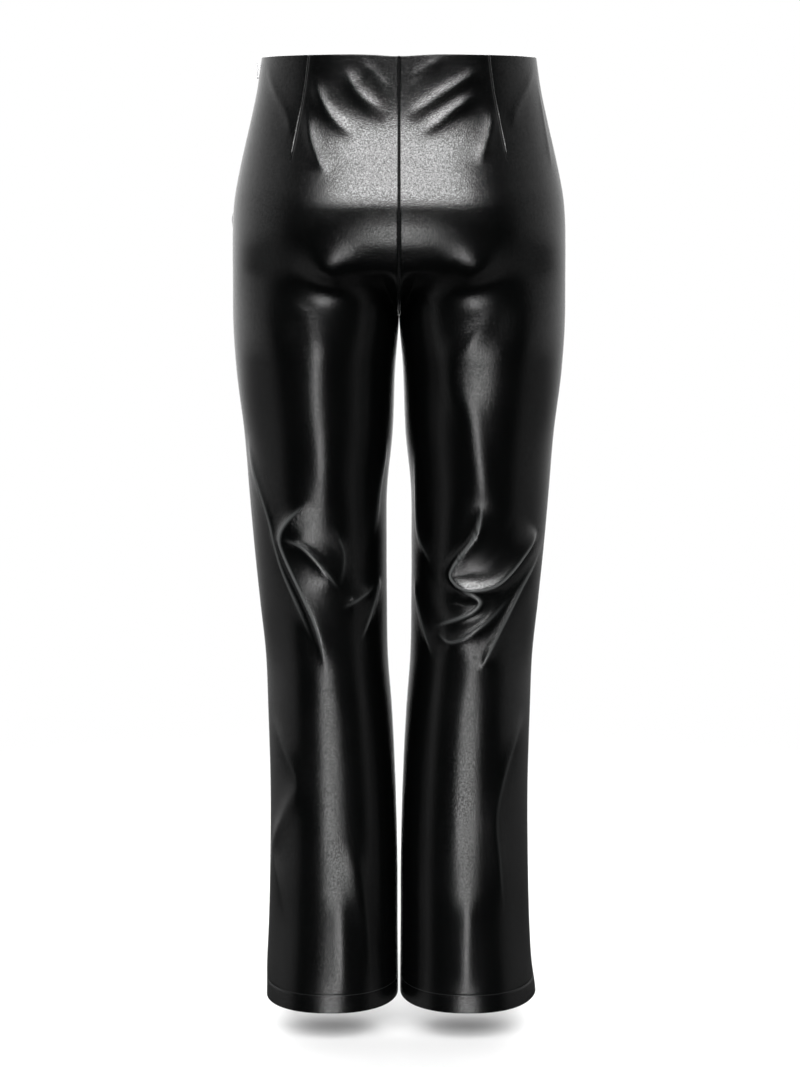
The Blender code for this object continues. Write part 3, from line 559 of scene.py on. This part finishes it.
def rows(bands):
    """Heights from the waist down to the hem."""
    heights = [bands[0].top]
    for band in bands:
        heights += list(np.linspace(band.top, band.bottom, band.steps + 1)[1:])
    return np.array(heights)


def back_angles(height):
    """A back's columns, closer beside its seams and its dart."""
    steps = np.array(SEAM_STEPS)
    dart = dart_angle(height)
    spread = 1.0 + (SPREAD - 1.0) * smooth((-height - DART_LENGTH) / SPREAD_HEIGHT)
    beside = steps[::-1] * spread
    inner = np.linspace(INSEAM + steps[-1], dart - beside[0], BACK_INNER_COLUMNS)
    outer = np.linspace(dart + beside[0], OUTSEAM - steps[-1], BACK_OUTER_COLUMNS)
    return np.concatenate([
        [INSEAM], INSEAM + steps[:-1], inner, dart - beside[1:], [dart],
        dart + beside[:0:-1], outer, OUTSEAM - steps[-2::-1], [OUTSEAM],
    ])


def front_angles(height):
    """A front's columns, closer beside its seams."""
    steps = np.array(SEAM_STEPS)
    across = np.linspace(OUTSEAM + steps[-1], FRONT_INSEAM - steps[-1], FRONT_COLUMNS)
    return np.concatenate([
        [OUTSEAM], OUTSEAM + steps[:-1], across, FRONT_INSEAM - steps[-2::-1], [FRONT_INSEAM],
    ])


def wall(height):
    """The shell is thicker where the waist is turned in and the hem is turned up."""
    turned_in = smooth((height + WAIST_TURN_IN) / TURNING_STEP)
    turned_up = smooth((HEM_HEIGHT + HEM_TURN_UP - height) / TURNING_STEP)
    return CLOTH + TURNING * (turned_in + turned_up)


def edge_fall(distance):
    """How far a turned edge falls away, so close to it, on a quarter of a circle."""
    left = np.clip(1.0 - distance / EDGE_ROUND, 0.0, 1.0)
    return EDGE_ROUND * (1.0 - np.sqrt(1.0 - left**2))


def mark(made, name, outer_values, inner_count):
    """Keeps a value at each outer point for the finish, such as how near a seam is."""
    values = np.concatenate([outer_values.ravel(), np.zeros(inner_count)]).astype(np.float32)
    made.data.attributes.new(name, "FLOAT", "POINT").data.foreach_set("value", values)


def panel(name, side, angles_at, bands, materials):
    """The front or back of one half: a shell from its outseam to its inner seams."""
    heights = rows(bands)
    angle = np.array([angles_at(height) for height in heights])
    height = np.repeat(heights[:, None], angle.shape[1], axis=1)
    outer, painted_crest_highlight = cloth_point(side, angle, height)
    normal = grid_normal(side, outer)
    fall = edge_fall(-height) + edge_fall(height - HEM_HEIGHT)
    # How near a dart's or seam's line is. The finish cuts the gloss there into a painted dark
    # line of shade, as in a shaded groove.
    off_dart = (angle - dart_angle(height)) / DART_LINE
    seams = np.exp(-(off_dart**2)) * smooth((height + DART_LENGTH) / DART_LINE_FADE)
    for edge in (0, -1):
        off_seam = np.linalg.norm(outer - outer[:, edge:][:, :1], axis=-1)
        fall = fall + SEAM_ROLL * np.exp(-((off_seam / SEAM_ROLL_WIDTH) ** 2))
        seams = seams + np.exp(-((off_seam / SEAM_LINE) ** 2))
    outer = clear_of_middle(side, outer - normal * fall[..., None])
    for edge in (0, -1):
        if from_inner_seam(angle[0, edge]) == 0.0:
            outer[heights >= CROTCH_HEIGHT, edge, 0] = 0.0
    rounding = edge_fall(-height) + edge_fall(height - HEM_HEIGHT)
    depth = wall(height) - fall - rounding
    inner = clear_of_middle(side, outer - normal * depth[..., None])[::2, ::2]
    made = shell(name, side, outer, inner, materials)
    inner_count = inner.shape[0] * inner.shape[1]
    # For the finish: how near a seam is, which is painted into dark lines of shade, and the
    # painted highlight along fold crests.
    mark(made, "seam", seams, inner_count)
    mark(made, "painted_crest_highlight", painted_crest_highlight, inner_count)
    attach(made, BODY)
    return made


# --- Threads and the zip's coil --------------------------------------------------------


def bars(name, starts, ends, outward, radius, material):
    """Short round threads from starts to ends, whose tips dip into the cloth, in one mesh."""
    along = (ends - starts) / np.linalg.norm(ends - starts, axis=-1, keepdims=True)
    across = np.cross(along, outward)
    turn = np.radians(np.arange(BAR_SIDES) * 360.0 / BAR_SIDES)
    rings = []
    for ring in BAR_RINGS:
        middle = starts + (ends - starts) * ring.share - outward * radius * ring.sunk
        spoke = across[:, None] * np.cos(turn)[:, None] + outward[:, None] * np.sin(turn)[:, None]
        rings.append(middle[:, None] + spoke * radius * ring.width)
    points = np.stack(rings, axis=1)
    faces = []
    for first in range(0, len(starts) * len(BAR_RINGS) * BAR_SIDES, len(BAR_RINGS) * BAR_SIDES):
        corner = first + np.arange(len(BAR_RINGS) * BAR_SIDES).reshape(-1, BAR_SIDES)
        after = np.roll(corner, -1, axis=1)
        sides = np.stack([corner[:-1], after[:-1], after[1:], corner[1:]], axis=-1)
        faces += sides.reshape(-1, 4).tolist()
        faces += [corner[0, ::-1].tolist(), corner[-1].tolist()]
    made = mesh_object(name, points.reshape(-1, 3), faces, [material])
    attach(made, BODY)
    return made


def on_cloth(side, angle, height, depth):
    """Points so deep under the cloth's outer surface, and the way out of it."""
    angle, height = np.broadcast_arrays(np.asarray(angle, float), np.asarray(height, float))
    normal = plain_normal(side, angle, height)
    return cloth_point(side, angle, height)[0] - normal * np.asarray(depth)[..., None], normal


def hem_stitches(material):
    """One row of stitches round each leg, which hold the turned-up hem."""
    pitch = 360.0 / HEM_STITCHES
    angle = INSEAM + pitch * (np.arange(HEM_STITCHES) + 0.5)
    height = HEM_HEIGHT + HEM_TURN_UP
    for side, side_name in ((LEFT, "left"), (RIGHT, "right")):
        start, _ = on_cloth(side, angle - pitch * STITCH_SHARE / 2.0, height, 0.0)
        end, _ = on_cloth(side, angle + pitch * STITCH_SHARE / 2.0, height, 0.0)
        _, outward = on_cloth(side, angle, height, 0.0)
        bars(f"hem_stitches_{side_name}", start, end, outward, THREAD, material)


def seam_stitches(material):
    """The thread that shows down in each seam."""
    starts, ends, normals = [], [], []
    for run in SEAM_RUNS:
        top = np.arange(run.top, run.bottom, -SEAM_PITCH)
        low = top - SEAM_PITCH * STITCH_SHARE
        start, outward = on_cloth(run.leg, run.angle, top, SEAM_ROLL)
        end, _ = on_cloth(run.leg, run.angle, low, SEAM_ROLL)
        starts.append(start)
        ends.append(end)
        normals.append(outward)
    bars("seam_stitches", np.vstack(starts), np.vstack(ends), np.vstack(normals), THREAD,
         material)


def zip_coil(material):
    """The closed zip's coil on the inside of its tape."""
    height = np.arange(COIL_TOP, COIL_BOTTOM, -COIL_PITCH)
    lining = TURNING * smooth((height + LINING_BOTTOM) / LINING_RUN)
    depth = TAPE_BACK + COIL_RADIUS / 2.0 + lining
    start, _ = on_cloth(LEFT, OUTSEAM - COIL_REACH, height, depth)
    end, _ = on_cloth(LEFT, OUTSEAM + COIL_REACH, height, depth)
    _, outward = on_cloth(LEFT, OUTSEAM, height, depth)
    bars("zip_coil", start, end, -outward, COIL_RADIUS, material)


# --- Materials -------------------------------------------------------------------------


def node(tree, kind, inputs=None, **settings):
    """A shader node. Each input is a number, a colour or another node's output."""
    made = tree.nodes.new(kind)
    for name, value in settings.items():
        setattr(made, name, value)
    for name, value in (inputs or {}).items():
        socket = made.inputs[name]
        if isinstance(value, bpy.types.NodeSocket):
            tree.links.new(value, socket)
        else:
            socket.default_value = value
    return made


def maths(tree, operation, *values):
    return node(tree, "ShaderNodeMath", dict(enumerate(values)), operation=operation).outputs[0]


def new_material(name):
    material = bpy.data.materials.new(name)
    material.use_nodes = True
    return material, material.node_tree, material.node_tree.nodes["Principled BSDF"]


def texture(tree, kind, scale, coordinates, output, **inputs):
    values = {"Scale": scale, "Vector": coordinates}
    values.update({name.replace("_", " "): value for name, value in inputs.items()})
    return node(tree, kind, values).outputs[output]


def ranged(tree, value, low, high, to_low=0.0, to_high=1.0, soft=False):
    kind = "SMOOTHSTEP" if soft else "LINEAR"
    numbers = {"Value": value, "From Min": low, "From Max": high, "To Min": to_low,
               "To Max": to_high}
    return node(tree, "ShaderNodeMapRange", numbers, interpolation_type=kind).outputs["Result"]


def bump(tree, height, distance, below=None):
    values = {"Height": height, "Distance": distance, "Strength": 1.0}
    if below is not None:
        values["Normal"] = below
    return node(tree, "ShaderNodeBump", values).outputs["Normal"]


def faux_leather():
    """Black coated cloth: a fine pebbled grain under a soft gloss, with painted shade along its
    seams, where the gloss is cut, and a painted highlight along its sharp fold crests.
    """
    material, tree, shader = new_material("faux_leather")
    place = node(tree, "ShaderNodeTexCoord").outputs["Object"]
    seam = node(tree, "ShaderNodeAttribute", attribute_name="seam").outputs["Fac"]
    painted_crest_highlight = node(tree, "ShaderNodeAttribute", attribute_name="painted_crest_highlight").outputs["Fac"]
    pebbles = texture(tree, "ShaderNodeTexVoronoi", 760.0, place, "Distance")
    grain = texture(tree, "ShaderNodeTexNoise", 760.0, place, "Fac", Detail=2.0)
    pits = texture(tree, "ShaderNodeTexNoise", 620.0, place, "Fac", Detail=3.0, Roughness=0.7)
    dents = texture(tree, "ShaderNodeTexNoise", 240.0, place, "Fac", Detail=2.0)
    patches = texture(tree, "ShaderNodeTexNoise", 14.0, place, "Fac", Detail=4.0)
    normal = bump(tree, dents, 0.00005)
    normal = bump(tree, grain, 0.00013, normal)
    normal = bump(tree, pebbles, 0.00008, normal)
    tree.links.new(normal, shader.inputs["Normal"])
    rough = ranged(tree, patches, 0.3, 0.7, 0.19, 0.24)
    rough = maths(tree, "ADD", rough, maths(tree, "MULTIPLY", seam, 0.4))
    tree.links.new(rough, shader.inputs["Roughness"])
    speckle = ranged(tree, pits, 0.36, 0.64, 0.30, 0.76)
    # Painted shade: near seams and dart lines the specular level falls almost to nothing, so they
    # show dark as a shaded groove would.
    shine = maths(tree, "MULTIPLY", speckle, ranged(tree, seam, 0.15, 0.80, 1.0, 0.04))
    tree.links.new(shine, shader.inputs["Specular IOR Level"])
    ramp = node(tree, "ShaderNodeValToRGB", {"Fac": pebbles})
    ramp.color_ramp.elements[0].color = (0.0005, 0.0006, 0.0006, 1.0)
    ramp.color_ramp.elements[1].color = (0.0010, 0.0012, 0.0012, 1.0)
    # Painted highlight: along sharp fold crests the colour pales to grey, a line of light drawn
    # into the cloth.
    crest_highlight_paint = node(tree, "ShaderNodeMix", {"Factor": painted_crest_highlight, "A": ramp.outputs["Color"],
                                        "B": (0.085, 0.088, 0.088, 1.0)}, data_type="RGBA")
    tree.links.new(crest_highlight_paint.outputs["Result"], shader.inputs["Base Color"])
    return material


def backing():
    """The cloth's inside: a matt black knitted backing with fine ribs."""
    material, tree, shader = new_material("knit_backing")
    place = node(tree, "ShaderNodeTexCoord").outputs["Object"]
    ribs = node(tree, "ShaderNodeTexWave", {"Scale": 300.0, "Vector": place, "Distortion": 1.5},
                wave_type="BANDS", bands_direction="Z").outputs["Fac"]
    fuzz = texture(tree, "ShaderNodeTexNoise", 1500.0, place, "Fac", Detail=2.0)
    tree.links.new(bump(tree, fuzz, 0.0001, bump(tree, ribs, 0.0001)), shader.inputs["Normal"])
    ramp = node(tree, "ShaderNodeValToRGB", {"Fac": fuzz})
    ramp.color_ramp.elements[0].color = (0.008, 0.008, 0.009, 1.0)
    ramp.color_ramp.elements[1].color = (0.024, 0.024, 0.026, 1.0)
    tree.links.new(ramp.outputs["Color"], shader.inputs["Base Color"])
    shader.inputs["Roughness"].default_value = 0.95
    shader.inputs["Sheen Weight"].default_value = 0.3
    return material


def thread():
    """Black spun thread, a little paler than the cloth, with a fine twist."""
    material, tree, shader = new_material("thread")
    place = node(tree, "ShaderNodeTexCoord").outputs["Object"]
    twist = node(tree, "ShaderNodeTexWave", {"Scale": 900.0, "Vector": place, "Distortion": 2.0},
                 wave_type="BANDS", bands_direction="DIAGONAL").outputs["Fac"]
    tree.links.new(bump(tree, twist, 0.00006), shader.inputs["Normal"])
    ramp = node(tree, "ShaderNodeValToRGB", {"Fac": twist})
    ramp.color_ramp.elements[0].color = (0.003, 0.003, 0.003, 1.0)
    ramp.color_ramp.elements[1].color = (0.016, 0.016, 0.017, 1.0)
    tree.links.new(ramp.outputs["Color"], shader.inputs["Base Color"])
    shader.inputs["Roughness"].default_value = 0.55
    return material


def woven_tape():
    """The zip's tape: a matt black weave of fine ribs both ways."""
    material, tree, shader = new_material("woven_tape")
    place = node(tree, "ShaderNodeTexCoord").outputs["Object"]
    along = node(tree, "ShaderNodeTexWave", {"Scale": 520.0, "Vector": place, "Distortion": 0.6},
                 wave_type="BANDS", bands_direction="Z").outputs["Fac"]
    across = node(tree, "ShaderNodeTexWave", {"Scale": 700.0, "Vector": place, "Distortion": 0.6},
                  wave_type="BANDS", bands_direction="Y").outputs["Fac"]
    weave = maths(tree, "MULTIPLY", along, across)
    fuzz = texture(tree, "ShaderNodeTexNoise", 2200.0, place, "Fac", Detail=2.0)
    tree.links.new(bump(tree, fuzz, 0.00004, bump(tree, weave, 0.00012)), shader.inputs["Normal"])
    ramp = node(tree, "ShaderNodeValToRGB", {"Fac": weave})
    ramp.color_ramp.elements[0].color = (0.005, 0.005, 0.006, 1.0)
    ramp.color_ramp.elements[1].color = (0.018, 0.018, 0.020, 1.0)
    tree.links.new(ramp.outputs["Color"], shader.inputs["Base Color"])
    shader.inputs["Roughness"].default_value = 0.85
    return material


def zip_metal():
    """Pale polished metal with fine scratches and duller patches."""
    material, tree, shader = new_material("zip_metal")
    place = node(tree, "ShaderNodeTexCoord").outputs["Object"]
    stretched = node(tree, "ShaderNodeVectorMath", {0: place, 1: (1.0, 1.0, 0.08)},
                     operation="MULTIPLY").outputs["Vector"]
    scratches = texture(tree, "ShaderNodeTexNoise", 3800.0, stretched, "Fac", Detail=4.0)
    patches = texture(tree, "ShaderNodeTexNoise", 320.0, place, "Fac", Detail=3.0)
    tree.links.new(bump(tree, scratches, 0.00002), shader.inputs["Normal"])
    rough = maths(tree, "ADD", ranged(tree, patches, 0.35, 0.65, 0.20, 0.34),
                  ranged(tree, scratches, 0.55, 0.80, 0.0, 0.15))
    tree.links.new(rough, shader.inputs["Roughness"])
    ramp = node(tree, "ShaderNodeValToRGB", {"Fac": patches})
    ramp.color_ramp.elements[0].color = (0.46, 0.46, 0.47, 1.0)
    ramp.color_ramp.elements[1].color = (0.66, 0.66, 0.67, 1.0)
    tree.links.new(ramp.outputs["Color"], shader.inputs["Base Color"])
    shader.inputs["Metallic"].default_value = 1.0
    return material


# --- Studio ----------------------------------------------------------------------------

LENS, SENSOR = 86.0, 36.0
CAMERA_PLACE, CAMERA_PITCH = (0.001, -2.750, -0.109), 8.3
FLOOR_HEIGHT, FLOOR_HALF_WIDTH = -1.060, 1.6
FLOOR_FADE_START, FLOOR_FADE_END = 0.5, 1.5

# Light that surrounds the trousers, by degrees round from the camera's side and degrees up.
# Each panel is dark outside its edges and fades in over its own softness.
Panel = namedtuple("Panel", "middle half_width low high soft strength")
KEY = Panel(0.0, 30.0, 29.0, 46.0, 5.0, 14.0)
STRIP = Panel(0.0, 3.0, -25.0, -2.0, 8.0, 6.5)
REAR_KEY = Panel(180.0, 27.0, 22.0, 40.0, 6.0, 8.0)
REAR_STRIP = Panel(180.0, 3.0, -30.0, -2.0, 10.0, 3.0)
SIDE_START, SIDE_FULL = 65.0, 125.0
SIDE_LOW_START, SIDE_SOFT = 90.0, 2.0
SIDE_NEAR, SIDE_FAR, SIDE_LOW = 0.24, 1.10, 0.06
SIDE_BOTTOM, SIDE_TOP = -16.0, -1.0
RIGHT_SHARE, SHARE_BLEND = 0.7, 0.2  # how much weaker the side light is at +X
FRONT_FILL = 0.008  # light from every side, so that no cloth is quite black


def camera():
    data = bpy.data.cameras.new("camera")
    data.lens = LENS
    data.sensor_fit = "VERTICAL"
    data.sensor_height = SENSOR
    made = bpy.data.objects.new("camera", data)
    made.location = CAMERA_PLACE
    made.rotation_euler = (math.radians(90.0 - CAMERA_PITCH), 0.0, 0.0)
    bpy.context.scene.collection.objects.link(made)
    bpy.context.scene.camera = made


def panel_light(tree, azimuth, elevation, light):
    """The strength of one light panel in each direction."""
    off = maths(tree, "ABSOLUTE", maths(tree, "SUBTRACT", azimuth, light.middle))
    beside = ranged(tree, off, light.half_width + light.soft, light.half_width, soft=True)
    above = ranged(tree, elevation, light.low - light.soft, light.low, soft=True)
    below = ranged(tree, elevation, light.high + light.soft, light.high, soft=True)
    shape = maths(tree, "MULTIPLY", maths(tree, "MULTIPLY", beside, above), below)
    return maths(tree, "MULTIPLY", shape, light.strength)


def studio():
    """Soft panels of light all round, with plain white where the camera looks."""
    world = bpy.data.worlds.new("studio")
    bpy.context.scene.world = world
    world.use_nodes = True
    tree = world.node_tree
    background = tree.nodes["Background"]
    background.inputs["Color"].default_value = (1.0, 1.0, 1.0, 1.0)
    direction = node(tree, "ShaderNodeTexCoord").outputs["Generated"]
    parts = node(tree, "ShaderNodeSeparateXYZ", {"Vector": direction}).outputs
    towards_camera = maths(tree, "MULTIPLY", parts["Y"], -1.0)
    turn = maths(tree, "ARCTAN2", parts["X"], towards_camera)
    azimuth = maths(tree, "ABSOLUTE", maths(tree, "DEGREES", turn))
    elevation = maths(tree, "DEGREES", maths(tree, "ARCSINE", parts["Z"]))
    high = ranged(tree, azimuth, SIDE_START, SIDE_FULL, SIDE_NEAR, SIDE_FAR)
    low = ranged(tree, azimuth, SIDE_LOW_START, SIDE_FULL, SIDE_NEAR, SIDE_LOW)
    up = ranged(tree, elevation, SIDE_BOTTOM, SIDE_TOP, soft=True)
    ramp = node(tree, "ShaderNodeMix", {"Factor": up, "A": low, "B": high},
                data_type="FLOAT").outputs["Result"]
    starts = ranged(tree, azimuth, SIDE_START - SIDE_SOFT, SIDE_START + SIDE_SOFT, soft=True)
    share = ranged(tree, parts["X"], -SHARE_BLEND, SHARE_BLEND, 1.0, RIGHT_SHARE)
    side_light = maths(tree, "MULTIPLY", maths(tree, "MULTIPLY", ramp, starts), share)
    light = maths(tree, "ADD", side_light, FRONT_FILL)
    for source in (KEY, STRIP, REAR_KEY, REAR_STRIP):
        light = maths(tree, "ADD", light, panel_light(tree, azimuth, elevation, source))
    seen = node(tree, "ShaderNodeLightPath").outputs["Is Camera Ray"]
    strength = node(tree, "ShaderNodeMix", {"Factor": seen, "A": light, "B": 1.0},
                    data_type="FLOAT").outputs["Result"]
    tree.links.new(strength, background.inputs["Strength"])


def floor():
    """A plain pale floor under the hems. The cloth's gloss shows the studio past it."""
    half = FLOOR_HALF_WIDTH
    points = np.array([(-half, -half, 0.0), (half, -half, 0.0), (half, half, 0.0),
                       (-half, half, 0.0)])
    points[:, 2] = FLOOR_HEIGHT
    material, tree, shader = new_material("pale_floor")
    shader.inputs["Base Color"].default_value = (0.9, 0.9, 0.9, 1.0)
    shader.inputs["Roughness"].default_value = 0.9
    shader.inputs["Specular IOR Level"].default_value = 0.0
    place = node(tree, "ShaderNodeTexCoord").outputs["Object"]
    away = node(tree, "ShaderNodeVectorMath", {0: place, 1: (0.0, 0.0, -FLOOR_HEIGHT)},
                operation="ADD").outputs["Vector"]
    away = node(tree, "ShaderNodeVectorMath", {0: away}, operation="LENGTH").outputs["Value"]
    shown = ranged(tree, away, FLOOR_FADE_END, FLOOR_FADE_START, soft=True)
    tree.links.new(shown, shader.inputs["Alpha"])
    made = mesh_object("floor", points, [(0, 1, 2, 3)], [material])
    made.visible_glossy = False
    made.visible_shadow = False


# --- Scene -----------------------------------------------------------------------------


def main():
    camera()
    studio()
    floor()
    bpy.context.scene.view_settings.view_transform = "Standard"
    leather = [faux_leather(), backing()]
    for side, side_name in ((LEFT, "left"), (RIGHT, "right")):
        back = panel(f"cloth_back_{side_name}", side, back_angles, BACK_BANDS, leather)
        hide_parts(f"back_{side_name}")
        front = panel(f"cloth_front_{side_name}", side, front_angles, FRONT_BANDS, leather)
        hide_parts(f"front_{side_name}")
    spun, tape, metal = thread(), woven_tape(), zip_metal()
    hem_stitches(spun)
    seam_stitches(spun)
    zip_coil(tape)
    for name, material in (("zip_tape", tape), ("zip_slider", metal), ("zip_pull", metal)):
        for material_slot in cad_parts[name].material_slots:
            material_slot.material = material


main()
